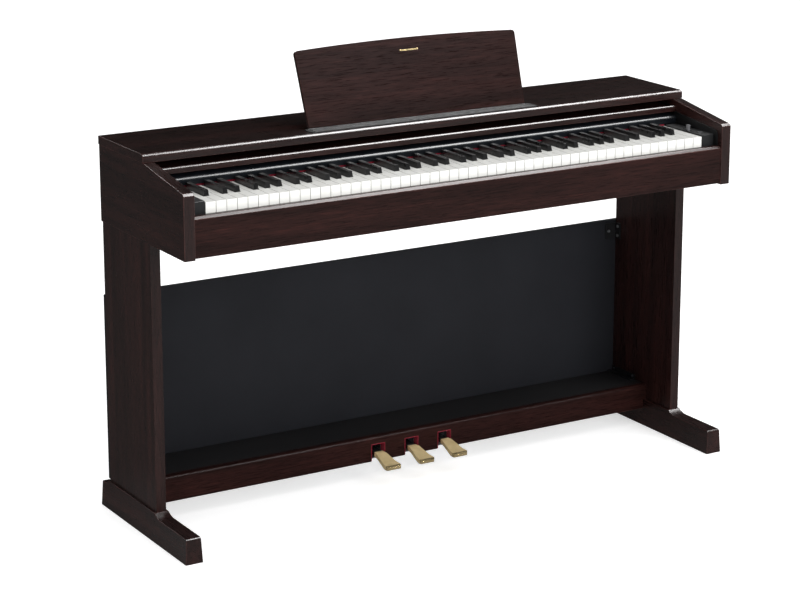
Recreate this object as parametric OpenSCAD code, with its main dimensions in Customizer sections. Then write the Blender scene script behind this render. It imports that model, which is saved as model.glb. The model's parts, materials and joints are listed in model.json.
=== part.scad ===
// Digital piano on a stand, millimetres, +Z up.
// The origin is on the floor, under the middle of the whole piano.
// +X is to the player's right (treble), +Y is away from the player.
// Depths are measured back from the front edge of the side panels.

/* [Keyboard] */
// Spacing of the white keys
key_pitch = 23.5; // [22.5:0.1:28.5]
// Gap between neighbouring keys
key_gap = 1; // [0.6:0.1:1.4]
// Setback of the white keys behind the front edge of the side panels
key_setback = 26; // [24:1:36]
// Visible length of the white keys, up to the control panel
key_reach = 136; // [126:1:165]
// Length of the wide head of a white key, in front of the black keys
key_head_l = 47; // [42:1:52]
// Width of a black key at its foot
black_w = 11; // [9:0.5:12]
// Height of the black keys above the white keys
black_h = 12; // [9:0.5:14]
// How far a white key's front edge goes down
key_dip = 10; // [7:0.5:12]
// Width of the end block beside the keys
end_block_w = 35; // [28:1:45]

/* [Main unit] */
// Depth of the main unit
unit_d = 397; // [385:1:500]
// Height of the side panels at the back
unit_h = 163.5; // [160:0.5:200]
// Thickness of the side panels
panel_t = 24; // [15:1:30]
// Thickness of the top board
top_t = 18.5; // [12:0.5:25]
// Overhang of the top board past each side panel
top_overhang = 1.5; // [0:0.5:5]
// Thickness of the bottom, rear and rail boards
board_t = 15; // [9:1:18]
// Travel of the sliding key cover
cover_travel = 156; // [150:1:158]
// Slope of the key cover, falling towards the player
cover_slope = 6.5; // [4:0.5:7]

/* [Music rest] */
// Width of the music rest at its foot
rest_w = 540; // [300:1:700]
// Height of the music rest at its corners, along its face
rest_l = 158; // [120:1:166]
// Rise of the arched top edge above the corners
rest_arch = 7; // [1:1:10]
// Thickness of the music rest
rest_t = 9; // [6:1:12]
// Lean of the raised music rest from upright
rest_lean = 18.5; // [12:0.5:25]

/* [Stand] */
// Height of the main unit's underside above the floor
stand_h = 633; // [500:1:800]
// Depth of a leg
leg_d = 230; // [180:1:280]
// Thickness of a leg
leg_t = 22; // [15:1:24]
// Length of a foot
foot_l = 413; // [380:1:500]
// Width of a foot at the floor
foot_w = 39; // [30:1:50]
// Height of the foot where the leg stands on it
foot_h = 63; // [57:1:80]
// How far a foot reaches behind the main unit
foot_reach = 25; // [10:1:60]
// Height of the back board's top edge above the floor
back_board_top = 472; // [300:1:560]
// Thickness of the back board
back_board_t = 12; // [6:1:15]

/* [Pedals] */
// Height of the pedal box's underside above the floor
pedal_box_z = 42.6; // [35:0.5:70]
// Height of the pedal box
pedal_box_h = 57; // [54:0.5:90]
// Depth of the pedal box
pedal_box_d = 137; // [130:1:160]
// Spacing of the pedals
pedal_pitch = 86; // [70:1:110]
// Width of a pedal at its tip
pedal_w = 38; // [30:1:42]
// Length of a pedal in front of the box
pedal_reach = 72; // [60:1:95]

/* [Hidden] */
$fn = 48;

white_count = 52;
letters = 7;
key_span = white_count * key_pitch;
key_play = 1;
guide_t = 3;

// Widths, from the keyboard outwards
block_x0 = key_span / 2 + key_play;
block_x1 = block_x0 + end_block_w - guide_t;
inner_x = block_x0 + end_block_w;
unit_x = inner_x + panel_t;
leg_x1 = unit_x - 1;
leg_x0 = leg_x1 - leg_t;
foot_x0 = leg_x0 + leg_t / 2 - foot_w / 2;
foot_x1 = foot_x0 + foot_w;

// Depths, back from the front edge of the side panels
total_d = unit_d + foot_reach;
panel_y = key_setback + key_reach;
top_front = panel_y + 18;
pivot_y = panel_y + 94;
rear_y = unit_d - board_t;
leg_y1 = unit_d - 6;
leg_y0 = leg_y1 - leg_d;
foot_y1 = total_d;
foot_y0 = foot_y1 - foot_l;
box_y0 = leg_y1 - pedal_box_d;

// Heights above the floor
rail_z = stand_h + 87;
key_z = stand_h + 108;
bottom_z = stand_h + 3;
floor_z = bottom_z + board_t;
arm_nose_z = stand_h + 136;
top_z = stand_h + unit_h;
table_z = top_z + top_t;
block_z = key_z + 3;

// Key mouldings
white_depth = 26;
key_wall = 2;
key_tail_l = key_reach + 10;
key_fit = 0.05;
rod_r = 2;
rod_z = key_z - 22;
lever_w = 8;
lever_h = 14;
lever_back = 7;
lever_lap = 32;
black_top_w = black_w - 1.6;
black_front_gap = 1;
black_back_gap = 4;
slot = black_w + 2 * key_gap;
tail_cde = (3 * key_pitch - 2 * slot) / 3;
tail_fgab = (4 * key_pitch - 3 * slot) / 4;

// Control panel, key cover and guides
panel_wall = 3;
panel_nose_z = key_z + 21;
panel_drop = 4.5;
nose_r = 8;
cover_t = 5;
cover_lip_t = 9;
cover_lip_y = panel_y + 6;
cover_lip_h = 13;
cover_under_z = key_z + 30;
cover_gap = 0.3;
cover_l = cover_travel + 15;
guide_flange = 2.5;
guide_rear = min(rear_y - 4, cover_lip_y + (top_z - 1 - cover_under_z) / tan(cover_slope));

// Music rest, its hinges and stays
hinge_r = 3;
hinge_pin_r = 1.5;
hinge_fit = 0.05;
hinge_x = 180;
hinge_w = 30;
leaf_t = 1.2;
leaf_l = 16;
rest_y = top_front + 54;
rest_z = table_z + 6;
rest_back = 1.5;
rest_foot = -6;
stay_x = 225;
stay_w = 10;
stay_t = 2.4;
stay_anchor = 78;
stay_offset = -2;
stay_tip_r = 1.7;
stay_pin_r = 1;
stay_l = 81;
stay_foot_z = table_z + 2.2;

// The stays' upper pins, and the slope of the stays while the rest is raised
stay_pin_y = rest_y + stay_anchor * sin(rest_lean) - stay_offset * cos(rest_lean);
stay_pin_z = rest_z + stay_anchor * cos(rest_lean) + stay_offset * sin(rest_lean);
stay_angle = asin((stay_pin_z - stay_foot_z) / stay_l);

// Keys and their chassis
middle_c = 23;
chassis_z = key_z - white_depth - key_dip - 9;

// Speakers, and the recess for the sockets in the rear board
speaker_x = 430;
speaker_y = key_setback + 100;
speaker_r = 56;
jack_x = 430;
jack_w = 130;
jack_h = 40;
jack_z = floor_z + 25;

// Stand joinery
edge_cut = 5;
pedal_slot_w = 35;
pedal_slot_h = 40;
felt_t = 1.5;
box_front_t = 18;
box_top_t = 12;
sheet_t = 2;
axle_r = 4;
axle_fit = 0.05;
pedal_xs = [-pedal_pitch, 0, pedal_pitch];
axle_y = box_y0 + 76;
axle_z = pedal_box_z + 18;
pedal_arm_w = 18;
rib_t = 3;
chassis_top = pedal_box_z + pedal_box_h - box_top_t - 1;
spring_y = axle_y + 28;
spring_r = 6;
spring_wire = 0.8;
spring_turns = 5;
spring_steps = 14;
spring_sides = 6;
spring_seat = axle_z + 6;
screw_r = 2;
screw_fit = 0.1;
screw_head_r = 4;
screw_head_h = 2.2;
screw_l = 12;
bracket_t = 2;
bracket_w = 31;
bracket_h = 38;
bracket_top = back_board_top - 7;
rail_bracket_h = 12;
rail_bracket_l = 92;

// Places of the screws on the right side: [depth, height] on the leg, [x, height] on the back board
leg_screws = [
    [leg_y1 - 11, bracket_top - 8], [leg_y1 - 11, bracket_top - bracket_h + 8],
    [leg_y1 - 10, pedal_box_z + pedal_box_h + 6],
    [leg_y1 - rail_bracket_l + 9, pedal_box_z + pedal_box_h + 6]
];
board_screw = [leg_x0 - 22, bracket_top - bracket_h / 2];

// Controls on the end blocks
button_w = 12;
button_d = 8;
button_fit = 0.3;
button_proud = 1.6;
button_ys = [key_setback + 28, key_setback + 46, key_setback + 64, key_setback + 82];
power_y = key_setback + 30;
block_wall = 2.5;
slider_x = block_x0 + 8;
slider_y = key_setback + 61;
slider_run = 40;
slider_slot_w = 3;
slider_stem_w = 2;
control_x = (block_x0 + block_x1) / 2;

// ---------------------------------------------------------------- helpers

// Moves depths measured from the front edge into the piano's own frame
module from_front() {
    translate([0, -total_d / 2, 0]) children();
}

// A block between two corners
module block(x0, x1, y0, y1, z0, z1) {
    translate([x0, y0, z0]) cube([x1 - x0, y1 - y0, z1 - z0]);
}

// A side outline, drawn in depth and height, run from x0 to x1
module run_x(x0, x1) {
    translate([x0, 0, 0]) rotate([90, 0, 90]) linear_extrude(x1 - x0) children();
}

// A round bar or hole along X
module bar_x(x0, x1, y, z, r) {
    translate([x0, y, z]) rotate([0, 90, 0]) cylinder(h = x1 - x0, r = r);
}

// Keeps a shape for the right and adds its mirror image on the left
module both_sides() {
    children();
    mirror([1, 0, 0]) children();
}

// Points on an arc, about [cx, cy], from angle a0 to a1
function arc(cx, cy, r, a0, a1, steps = 8) =
    [for (i = [0:steps]) let (a = a0 + (a1 - a0) * i / steps) [cx + r * cos(a), cy + r * sin(a)]];

// Height on the key cover's sliding line, at a depth and a height over the underside
function cover_line(y, over = 0) = cover_under_z + over + (y - cover_lip_y) * tan(cover_slope);

// ---------------------------------------------------------------- main unit

module top_board() {
    round_r = 8;
    color([0.19, 0.11, 0.11]) from_front()
        run_x(-unit_x - top_overhang, unit_x + top_overhang)
            polygon(concat(
                [[unit_d, top_z], [unit_d, table_z]],
                arc(top_front + round_r, table_z - round_r, round_r, 90, 180),
                [[top_front, top_z]]
            ));
}

module side_panel() {
    from_front() run_x(inner_x, unit_x)
        polygon([
            [0, stand_h], [unit_d, stand_h], [unit_d, top_z], [top_front + 1, top_z],
            [edge_cut, arm_nose_z], [0, arm_nose_z - edge_cut]
        ]);
}

module side_panel_right() {
    color([0.20, 0.12, 0.12]) side_panel();
}

module side_panel_left() {
    color([0.20, 0.12, 0.12]) mirror([1, 0, 0]) side_panel();
}

module front_rail() {
    recess = 2;
    color([0.19, 0.11, 0.11]) from_front() run_x(-inner_x, inner_x)
        polygon([
            [recess, bottom_z], [recess, rail_z - edge_cut], [recess + edge_cut, rail_z],
            [recess + board_t + 3, rail_z], [recess + board_t + 3, bottom_z]
        ]);
}

module bottom_board() {
    color([0.10, 0.09, 0.09]) from_front() difference() {
        block(-inner_x, inner_x, 20, rear_y, bottom_z, floor_z);
        for (side = [-1, 1])
            translate([side * speaker_x, speaker_y, bottom_z - 1]) cylinder(h = board_t + 2, r = speaker_r);
    }
}

module rear_board() {
    color([0.09, 0.08, 0.08]) from_front() difference() {
        block(-inner_x, inner_x, rear_y, unit_d - 1, bottom_z, top_z);
        block(jack_x - jack_w / 2, jack_x + jack_w / 2, rear_y - 1, unit_d, jack_z, jack_z + jack_h);
    }
}

module control_panel() {
    deck_y = panel_y + 34;
    deck_z = cover_line(deck_y) - 4.5;
    nose_y = panel_y + nose_r;
    nose_end = 108;
    color([0.03, 0.03, 0.035]) from_front() run_x(-inner_x + guide_t, inner_x - guide_t)
        polygon(concat(
            [[panel_y + panel_wall, key_z + panel_drop], [panel_y, key_z + panel_drop]],
            arc(nose_y, panel_nose_z - nose_r, nose_r, 180, nose_end),
            [[deck_y, deck_z], [deck_y, deck_z - panel_wall]],
            arc(nose_y, panel_nose_z - nose_r, nose_r - panel_wall, nose_end, 180)
        ));
}

module key_cover() {
    lip_z = cover_under_z;
    lip_back = cover_lip_y + cover_lip_t;
    board_y = lip_back - 1;
    lip_r = 5;
    back_r = 3;
    half = inner_x - 1;
    color([0.17, 0.10, 0.10]) from_front() union() {
        run_x(-half, half)
            polygon(concat(
                [[cover_lip_y, lip_z], [lip_back, cover_line(lip_back)]],
                arc(lip_back - back_r, lip_z + cover_lip_h - back_r, back_r, 0, 90, 4),
                arc(cover_lip_y + lip_r, lip_z + cover_lip_h - lip_r, lip_r, 90, 180, 6)
            ));
        run_x(-half, half)
            polygon([
                [board_y, cover_line(board_y)], [cover_lip_y + cover_l, cover_line(cover_lip_y + cover_l)],
                [cover_lip_y + cover_l, cover_line(cover_lip_y + cover_l, cover_t)],
                [board_y, cover_line(board_y, cover_t)]
            ]);
    }
}

// Side outline of a strip along the cover's sliding line, up to the top of the guide's flange
module guide_strip(y0, y1, under) {
    upper = cover_t + cover_gap + guide_flange;
    polygon([
        [y0, cover_line(y0, under)], [y1, cover_line(y1, under)],
        [y1, cover_line(y1, upper)], [y0, cover_line(y0, upper)]
    ]);
}

// The cover rides on this rail, and its back edge runs under the flange
module cover_guide() {
    nose_y = 14;
    nose_round = 9;
    flange_y = cover_lip_y + cover_lip_t + 1;
    flange_end = cover_lip_y + (top_z - cover_line(cover_lip_y, cover_t + cover_gap) - guide_flange)
        / tan(cover_slope);
    web_t = 0.8;
    from_front() union() {
        run_x(inner_x - guide_t, inner_x)
            polygon(concat(
                [[guide_rear, floor_z], [guide_rear, cover_line(guide_rear, -cover_gap)]],
                [[nose_y + nose_round, cover_line(nose_y + nose_round, -cover_gap)]],
                arc(nose_y + nose_round, cover_line(nose_y + nose_round, -cover_gap) - nose_round,
                    nose_round, 96, 180),
                [[nose_y, rail_z], [nose_y + 8, rail_z], [nose_y + 8, floor_z]]
            ));
        run_x(inner_x - web_t, inner_x)
            guide_strip(flange_y, flange_end, -2);
        run_x(inner_x - guide_t - 2, inner_x)
            guide_strip(flange_y, flange_end, cover_t + cover_gap);
    }
}

module cover_guide_right() {
    color([0.04, 0.04, 0.04]) cover_guide();
}

module cover_guide_left() {
    color([0.04, 0.04, 0.04]) mirror([1, 0, 0]) cover_guide();
}

// ---------------------------------------------------------------- end blocks and controls

module end_block_shell() {
    difference() {
        block(block_x0, block_x1, key_setback, panel_y - 1, floor_z, block_z);
        block(block_x0 + block_wall, block_x1 - block_wall, key_setback + block_wall,
            panel_y - 1 - block_wall, floor_z - 1, block_z - block_wall);
    }
}

module button_hole(x, y) {
    w = button_w + 2 * button_fit;
    d = button_d + 2 * button_fit;
    block(x - w / 2, x + w / 2, y - d / 2, y + d / 2, block_z - block_wall - 1, block_z + 1);
}

module end_block_left() {
    color([0.12, 0.12, 0.13]) from_front() difference() {
        mirror([1, 0, 0]) end_block_shell();
        for (y = button_ys) button_hole(-control_x, y);
    }
}

module end_block_right() {
    color([0.12, 0.12, 0.13]) from_front() difference() {
        end_block_shell();
        button_hole(control_x, power_y);
        block(slider_x - slider_slot_w / 2, slider_x + slider_slot_w / 2,
            slider_y - slider_run / 2, slider_y + slider_run / 2, block_z - block_wall - 1, block_z + 1);
    }
}

// A push button with a hidden flange that keeps it in its hole
module push_button(x, y) {
    flange = 1.2;
    flange_t = 1.5;
    under = block_z - block_wall - 0.1;
    from_front() union() {
        block(x - button_w / 2, x + button_w / 2, y - button_d / 2, y + button_d / 2,
            under - flange_t, block_z + button_proud);
        block(x - button_w / 2 - flange, x + button_w / 2 + flange,
            y - button_d / 2 - flange, y + button_d / 2 + flange, under - flange_t, under);
    }
}

module voice_button() {
    color([0.2, 0.2, 0.21]) push_button(-control_x, button_ys[0]);
}

module record_button() {
    color([0.2, 0.2, 0.21]) push_button(-control_x, button_ys[1]);
}

module metronome_button() {
    color([0.2, 0.2, 0.21]) push_button(-control_x, button_ys[2]);
}

module song_button() {
    color([0.2, 0.2, 0.21]) push_button(-control_x, button_ys[3]);
}

module power_button() {
    color([0.2, 0.2, 0.21]) push_button(control_x, power_y);
}

module volume_slider() {
    cap_w = 7;
    cap_d = 9;
    cap_h = 12;
    keeper_w = 8;
    under = block_z - block_wall - 0.3;
    color([0.25, 0.25, 0.26]) from_front() union() {
        block(slider_x - cap_w / 2, slider_x + cap_w / 2, slider_y - cap_d / 2, slider_y + cap_d / 2,
            block_z + 0.3, block_z + 0.3 + cap_h);
        block(slider_x - slider_stem_w / 2, slider_x + slider_stem_w / 2,
            slider_y - cap_d / 2, slider_y + cap_d / 2, under - 2, block_z + 1);
        block(slider_x - keeper_w / 2, slider_x + keeper_w / 2, slider_y - cap_d / 2, slider_y + cap_d / 2,
            under - 3, under);
    }
}

// ---------------------------------------------------------------- music rest

module music_ledge() {
    ledge_w = rest_w + 26;
    ledge_d = 36;
    base_h = 2;
    rib_h = 1.4;
    rib_w = 3;
    ribs = 4;
    y0 = top_front + 6;
    end_r = 8;
    color([0.05, 0.05, 0.05]) from_front() union() {
        translate([0, 0, table_z]) linear_extrude(base_h) union() {
            translate([-ledge_w / 2 + end_r, y0]) square([ledge_w - 2 * end_r, ledge_d]);
            translate([-ledge_w / 2, y0 + end_r]) square([ledge_w, ledge_d - 2 * end_r]);
            for (x = [-1, 1], y = [y0 + end_r, y0 + ledge_d - end_r])
                translate([x * (ledge_w / 2 - end_r), y]) circle(r = end_r);
        }
        for (i = [0:ribs - 1]) {
            rib_y = y0 + 3 + i * (ledge_d - 6 - rib_w) / (ribs - 1);
            block(-ledge_w / 2 + end_r, ledge_w / 2 - end_r, rib_y, rib_y + rib_w,
                table_z + base_h - 0.5, table_z + base_h + rib_h);
        }
    }
}

// Puts the rest's own frame at the hinge: X across, Y up the face, Z out of the front
module rest_frame() {
    from_front() translate([0, rest_y, rest_z]) rotate([90 - rest_lean, 0, 0]) children();
}

module music_rest() {
    corner_r = 7;
    half_top = rest_w / 2 + 5;
    half_foot = rest_w / 2;
    arch_r = (half_top * half_top + rest_arch * rest_arch) / (2 * rest_arch);
    arch_a = asin((half_top - corner_r) / arch_r);
    color([0.19, 0.11, 0.11]) rest_frame() difference() {
        translate([0, 0, rest_back]) linear_extrude(rest_t)
            polygon(concat(
                [[-half_foot, rest_foot], [half_foot, rest_foot]],
                arc(half_top - corner_r, rest_l - corner_r, corner_r, 0, 90 - arch_a, 5),
                arc(0, rest_l + rest_arch - arch_r, arch_r, 90 - arch_a, 90 + arch_a, 24),
                arc(corner_r - half_top, rest_l - corner_r, corner_r, 90 + arch_a, 180, 5)
            ));
        for (x = [-hinge_x, hinge_x])
            block(x - hinge_w / 2 - 1, x + hinge_w / 2 + 1, rest_foot - 1, hinge_r + 1,
                rest_back - 1, rest_back + hinge_r);
    }
}

// Steel leaves and stay lugs screwed to the back of the rest
module rest_brackets() {
    lug_w = stay_w / 2 + 1.5;
    color([0.5, 0.5, 0.52]) rest_frame() {
        for (x = [-hinge_x, hinge_x]) difference() {
            union() {
                block(x - hinge_w / 2, x + hinge_w / 2, 0, leaf_l, rest_back - leaf_t, rest_back);
                bar_x(x - hinge_w / 2, x + hinge_w / 2, 0, 0, hinge_r);
            }
            bar_x(x - hinge_w / 2 - 1, x + hinge_w / 2 + 1, 0, 0, hinge_pin_r + hinge_fit);
            block(x - hinge_w / 6 - 0.3, x + hinge_w / 6 + 0.3, -hinge_r - 1, hinge_r + 1,
                -hinge_r - 1, hinge_r + 1);
        }
        for (x = [-stay_x, stay_x]) difference() {
            union() {
                for (ear = [-1, 1])
                    block(x + ear * lug_w - 1, x + ear * lug_w + 1, stay_anchor - 4, stay_anchor + 5,
                        stay_offset - 2.2, rest_back);
                block(x - lug_w - 1, x + lug_w + 1, stay_anchor + 4, stay_anchor + 12,
                    rest_back - leaf_t, rest_back);
            }
            bar_x(x - stay_w, x + stay_w, stay_anchor, stay_offset, stay_pin_r + hinge_fit);
        }
    }
}

module rest_hinges() {
    // Fixed leaves on the top board, with the hinge pins
    color([0.5, 0.5, 0.52]) from_front() for (x = [-hinge_x, hinge_x]) union() {
        bar_x(x - hinge_w / 2, x + hinge_w / 2, rest_y, rest_z, hinge_pin_r);
        bar_x(x - hinge_w / 6, x + hinge_w / 6, rest_y, rest_z, hinge_r);
        block(x - hinge_w / 6, x + hinge_w / 6, rest_y - 1, rest_y + 1, table_z, rest_z - 1);
        block(x - hinge_w / 2, x + hinge_w / 2, rest_y - 1, rest_y + 1 + leaf_l, table_z, table_z + leaf_t);
    }
}

// A bail of two flat arms and a foot bar, which slides back on the top board as the rest folds
module rest_stay() {
    color([0.55, 0.55, 0.57]) from_front()
        translate([0, stay_pin_y, stay_pin_z]) rotate([-stay_angle, 0, 0]) union() {
            for (x = [-stay_x, stay_x]) {
                block(x - stay_w / 2, x + stay_w / 2, 0, stay_l, -stay_t / 2, stay_t / 2);
                bar_x(x - stay_w / 2 - 2.4, x + stay_w / 2 + 2.4, 0, 0, stay_pin_r);
                bar_x(x - stay_w / 2, x + stay_w / 2, 0, 0, stay_tip_r);
            }
            bar_x(-stay_x - stay_w / 2, stay_x + stay_w / 2, stay_l, 0, stay_tip_r);
        }
}

// ---------------------------------------------------------------- keyboard

// Letter of a white key, counted from C = 0; the lowest white key is an A
function letter(i) = (i + 5) % letters;

// Left edge of the C that starts a white key's octave
function octave_x(i) = -key_span / 2 + (i - letter(i)) * key_pitch;

function has_black(i) = i < white_count - 1 && letter(i) != 2 && letter(i) != 6;

// Left and right limits of a white key's narrow tail, from its octave's C
function tail_lo(l) =
    l < 3 ? l * (tail_cde + slot) : 3 * key_pitch + (l - 3) * (tail_fgab + slot);
function tail_hi(l) = tail_lo(l) + (l < 3 ? tail_cde : tail_fgab);

function tail_x0(i) = i == 0 ? -key_span / 2 : octave_x(i) + tail_lo(letter(i));
function tail_x1(i) = i == white_count - 1 ? key_span / 2 : octave_x(i) + tail_hi(letter(i));

// The lever behind a key's cap, with its bore for the pivot rod
module key_lever(x) {
    block(x - lever_w / 2, x + lever_w / 2, panel_y + 10 - lever_lap, pivot_y + lever_back,
        rod_z - lever_h / 2, rod_z + lever_h / 2);
}

module lever_bore(x) {
    bar_x(x - lever_w, x + lever_w, pivot_y, rod_z, rod_r + key_fit);
}

module white_key(i) {
    x0 = -key_span / 2 + i * key_pitch + key_gap / 2;
    x1 = x0 + key_pitch - key_gap;
    t0 = tail_x0(i) + key_gap / 2;
    t1 = tail_x1(i) - key_gap / 2;
    front = key_setback;
    under = key_z - white_depth;
    mid = (tail_x0(i) + tail_x1(i)) / 2;
    difference() {
        union() {
            block(x0, x1, front, front + key_head_l, under, key_z);
            block(t0, t1, front, front + key_tail_l, under, key_z);
        }
        block(x0 + key_wall, x1 - key_wall, front + key_wall, front + key_head_l - key_wall,
            under - 1, key_z - key_wall);
        block(t0 + key_wall, t1 - key_wall, front + key_wall, front + key_tail_l - lever_lap - key_wall,
            under - 1, key_z - key_wall);
    }
    difference() {
        key_lever(mid);
        lever_bore(mid);
    }
}

// Centre of the black key on a white key's right
function black_x(i) = octave_x(i) + tail_hi(letter(i)) + slot / 2;

module black_key(i) {
    x = black_x(i);
    front = key_setback + key_head_l + black_front_gap;
    back = panel_y - black_back_gap;
    top = key_z + black_h;
    under = key_z - white_depth + 6;
    slope = 14;
    difference() {
        translate([x, back, 0]) rotate([90, 0, 0]) linear_extrude(back - front)
            polygon([
                [-black_w / 2, under], [black_w / 2, under], [black_w / 2, key_z],
                [black_top_w / 2, top], [-black_top_w / 2, top], [-black_w / 2, key_z]
            ]);
        translate([x - black_w, front, key_z]) rotate([-slope, 0, 0])
            translate([0, -black_w, 0]) cube([2 * black_w, black_w, 2 * black_h]);
        block(x - black_w / 2 + key_wall, x + black_w / 2 - key_wall, front + 3 * key_wall,
            panel_y + 10 - lever_lap - key_wall, under - 1, top - 3 * key_wall);
    }
    difference() {
        key_lever(x);
        lever_bore(x);
    }
}

module white_keys(l) {
    color([0.93, 0.93, 0.91]) from_front()
        for (i = [0:white_count - 1]) if (letter(i) == l && i != middle_c) white_key(i);
}

module black_keys(l) {
    color([0.06, 0.06, 0.06]) from_front()
        for (i = [0:white_count - 1]) if (letter(i) == l && has_black(i)) black_key(i);
}

module key_middle_c() {
    color([0.93, 0.93, 0.91]) from_front() white_key(middle_c);
}

module key_pivot_rod() {
    color([0.6, 0.6, 0.62]) from_front()
        bar_x(-key_span / 2 - 4, key_span / 2 + 4, pivot_y, rod_z, rod_r);
}

module key_chassis() {
    plate_t = 3;
    post_t = 2;
    half = key_span / 2 - 0.5;
    post_xs = concat(
        [-key_span / 2 - 1, key_span / 2 + 1],
        [for (i = [2:letters:white_count - 2]) octave_x(i)]
    );
    foot_ys = [key_setback + 8, panel_y + 20, pivot_y + 6];
    color([0.16, 0.16, 0.17]) from_front() difference() {
        union() {
            block(-key_span / 2 - 2, key_span / 2 + 2, pivot_y - 8, pivot_y + 12,
                chassis_z, chassis_z + plate_t);
            block(-half, half, key_setback + 4, pivot_y + 12, chassis_z, chassis_z + plate_t);
            for (x = post_xs)
                block(x - post_t / 2, x + post_t / 2, pivot_y - 7, pivot_y + 7, chassis_z, rod_z + 7);
            for (y = foot_ys)
                block(-half, -half + 60, y, y + 6, floor_z, chassis_z + 1);
            for (y = foot_ys)
                block(half - 60, half, y, y + 6, floor_z, chassis_z + 1);
            for (y = foot_ys)
                block(-30, 30, y, y + 6, floor_z, chassis_z + 1);
        }
        bar_x(-key_span, key_span, pivot_y, rod_z, rod_r + key_fit);
    }
}

// Felt under the front of the keys, and the thin strip at the control panel's foot
module key_felts() {
    strip_back = panel_y + panel_wall;
    strip_front = panel_y + 0.6;
    color([0.55, 0.07, 0.09]) from_front() {
        block(-key_span / 2, key_span / 2, strip_front, strip_back, key_z + 0.8, key_z + panel_drop);
        block(-key_span / 2 + 1, key_span / 2 - 1, key_setback + 6, key_setback + 20,
            chassis_z + 3, key_z - white_depth - key_dip - 1);
    }
}

// ---------------------------------------------------------------- electronics

module speakers() {
    flange_r = speaker_r + 6;
    mount_t = 2;
    magnet_r = 28;
    height = 42;
    color([0.08, 0.08, 0.09]) from_front() for (side = [-1, 1])
        translate([side * speaker_x, speaker_y, floor_z]) rotate_extrude()
            polygon([
                [0, 8], [14, 5], [20, 9], [speaker_r - 6, -6], [speaker_r - 2, -6], [speaker_r - 1, 0],
                [flange_r, 0], [flange_r, mount_t], [speaker_r - 3, mount_t], [magnet_r + 4, 22],
                [magnet_r, 24], [magnet_r, height], [0, height]
            ]);
}

module speaker_grilles() {
    rim_r = speaker_r + 6;
    ring_w = 2.4;
    rings = 6;
    color([0.10, 0.10, 0.10]) from_front() for (side = [-1, 1])
        translate([side * speaker_x, speaker_y, stand_h + 0.6]) union() {
            for (i = [1:rings]) rotate_extrude()
                translate([i * rim_r / rings - ring_w, 0]) square([ring_w, bottom_z - stand_h - 0.6]);
            for (a = [0, 90]) rotate([0, 0, a])
                block(-rim_r + 1, rim_r - 1, -1.5, 1.5, 0, bottom_z - stand_h - 0.6);
        }
}

module main_circuit_board() {
    board_x = -160;
    board_w = 320;
    board_d = rear_y - pivot_y - 40;
    board_y = pivot_y + 26;
    pcb_z = floor_z + 8;
    color([0.06, 0.25, 0.12]) from_front() union() {
        block(board_x, board_x + board_w, board_y, board_y + board_d, pcb_z, pcb_z + 1.6);
        for (x = [board_x + 10, board_x + board_w - 10], y = [board_y + 8, board_y + board_d - 8])
            translate([x, y, floor_z]) cylinder(h = pcb_z - floor_z + 1, r = 3);
        block(board_x + 40, board_x + 70, board_y + 20, board_y + 50, pcb_z + 1, pcb_z + 4);
        block(board_x + 100, board_x + 125, board_y + 25, board_y + 50, pcb_z + 1, pcb_z + 4);
        block(board_x + 180, board_x + 230, board_y + 20, board_y + 60, pcb_z + 1, pcb_z + 22);
    }
}

// Recessed plate in the back with the supply inlet, data port and pedal socket
module jack_panel() {
    plate_t = 3;
    plate_y = rear_y + 2;
    y1 = unit_d - 1;
    mid_z = jack_z + jack_h / 2;
    color([0.07, 0.07, 0.08]) from_front() difference() {
        block(jack_x - jack_w / 2, jack_x + jack_w / 2, plate_y, y1, jack_z, jack_z + jack_h);
        block(jack_x - jack_w / 2 + plate_t, jack_x + jack_w / 2 - plate_t, plate_y + plate_t, y1 + 1,
            jack_z + plate_t, jack_z + jack_h - plate_t);
        block(jack_x - 44, jack_x - 34, plate_y - 1, plate_y + 6, mid_z - 5, mid_z + 5);
        block(jack_x - 6, jack_x + 6, plate_y - 1, plate_y + 6, mid_z - 5, mid_z + 5);
        block(jack_x + 30, jack_x + 48, plate_y - 1, plate_y + 6, mid_z - 4, mid_z + 4);
    }
}

// ---------------------------------------------------------------- stand

module leg() {
    from_front() difference() {
        block(leg_x0, leg_x1, leg_y0, leg_y1, foot_h, stand_h);
        for (s = leg_screws) bar_x(leg_x0 - 1, leg_x0 + screw_l, s[0], s[1], screw_r + screw_fit);
    }
}

module leg_right() {
    color([0.17, 0.10, 0.10]) leg();
}

module leg_left() {
    color([0.17, 0.10, 0.10]) mirror([1, 0, 0]) leg();
}

// A foot with a cove before and behind the leg, and sides that lean in towards the top
module foot() {
    drop = 8.5;
    toe_h = foot_h - drop;
    round_r = 6;
    taper = 3.4;
    slant = 2;
    cove_r = 42;
    cove_a = acos(1 - drop / cove_r);
    cove_l = cove_r * sin(cove_a);
    heel_l = 0.6 * (foot_y1 - leg_y1);
    heel_r = (heel_l * heel_l + drop * drop) / (2 * drop);
    heel_a = asin(heel_l / heel_r);
    from_front() intersection() {
        run_x(foot_x0, foot_x1)
            polygon(concat(
                [[foot_y0, 0]],
                arc(foot_y0 + slant + round_r, toe_h - round_r, round_r, 180, 90, 6),
                arc(leg_y0 - cove_l, toe_h + cove_r, cove_r, 270, 270 + cove_a, 10),
                arc(leg_y1 + heel_l, toe_h + heel_r, heel_r, 270 - heel_a, 270, 6),
                [[foot_y1 - slant, toe_h], [foot_y1, 0]]
            ));
        translate([0, foot_y1, 0]) rotate([90, 0, 0]) linear_extrude(foot_l)
            polygon([
                [foot_x0, 0], [foot_x1, 0], [foot_x1 - taper, foot_h], [foot_x0 + taper, foot_h]
            ]);
    }
}

module foot_right() {
    color([0.17, 0.10, 0.10]) foot();
}

module foot_left() {
    color([0.17, 0.10, 0.10]) mirror([1, 0, 0]) foot();
}

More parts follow.
